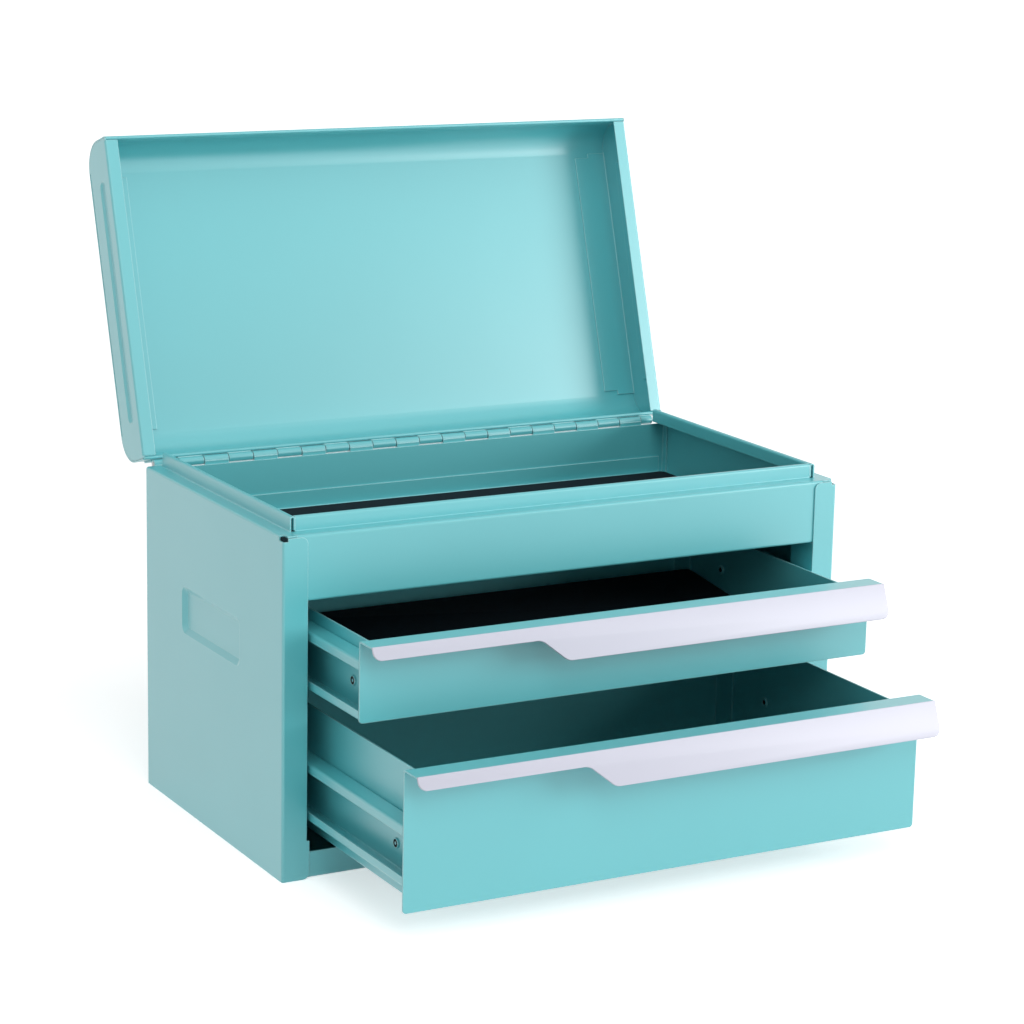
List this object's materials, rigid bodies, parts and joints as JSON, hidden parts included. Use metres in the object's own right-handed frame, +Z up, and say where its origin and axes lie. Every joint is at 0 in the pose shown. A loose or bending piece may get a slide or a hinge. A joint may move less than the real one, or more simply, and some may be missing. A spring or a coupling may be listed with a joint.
{
  "type": "tool chest with drawers",
  "caption": "Small bench-top steel tool chest: hinged lid over a lined top tray, with full-width sliding drawers and white pulls, shown open.",
  "frame": {"origin": "on the underside of the case, midway between its sides and midway between its front and back", "axes": "+X to the right seen from the front, +Y to the back, +Z up"},
  "size_m": [0.33, 0.3848, 0.3529],
  "materials": {
    "turquoise_powder_coat": "satin powder coat",
    "white_pull": "satin white",
    "foam_liner": "matt black closed-cell foam",
    "steel_wire": "bright wire",
    "coated_rivet": "satin powder coat"
  },
  "bodies": {
    "case": {"left_side_panel": "turquoise_powder_coat", "right_side_panel": "turquoise_powder_coat", "back_panel": "turquoise_powder_coat", "base_panel": "turquoise_powder_coat", "front_fascia": "turquoise_powder_coat", "tray_pan": "turquoise_powder_coat", "tray_mat": "foam_liner", "upper_left_runner": "turquoise_powder_coat", "upper_right_runner": "turquoise_powder_coat", "lower_left_runner": "turquoise_powder_coat", "lower_right_runner": "turquoise_powder_coat", "hinge_case_leaf": "turquoise_powder_coat", "hinge_pin": "steel_wire"},
    "lid": {"lid_skin": "turquoise_powder_coat", "lid_left_end": "turquoise_powder_coat", "lid_right_end": "turquoise_powder_coat", "hinge_lid_leaf": "turquoise_powder_coat"},
    "upper_drawer": {"upper_drawer_front": "turquoise_powder_coat", "upper_drawer_pull": "white_pull", "upper_drawer_pan": "turquoise_powder_coat", "upper_drawer_back": "turquoise_powder_coat", "upper_drawer_mat": "foam_liner", "upper_drawer_left_channel": "turquoise_powder_coat", "upper_drawer_right_channel": "turquoise_powder_coat", "upper_drawer_rivets": "coated_rivet"},
    "lower_drawer": {"lower_drawer_front": "turquoise_powder_coat", "lower_drawer_pull": "white_pull", "lower_drawer_pan": "turquoise_powder_coat", "lower_drawer_back": "turquoise_powder_coat", "lower_drawer_mat": "foam_liner", "lower_drawer_left_channel": "turquoise_powder_coat", "lower_drawer_right_channel": "turquoise_powder_coat", "lower_drawer_rivets": "coated_rivet"}
  },
  "joints": [
    {"name": "lid_hinge", "type": "hinge", "parent": "case", "child": "lid", "pos_m": [0, 0.09215, 0.1802], "axis": [1, 0, 0], "range_deg": [0, 107.5]},
    {"name": "upper_drawer_slide", "type": "slide", "parent": "case", "child": "upper_drawer", "axis": [0, -1, 0], "range_m": [-0.0559, 0.0661]},
    {"name": "lower_drawer_slide", "type": "slide", "parent": "case", "child": "lower_drawer", "axis": [0, -1, 0], "range_m": [-0.105, 0.017]}
  ]
}
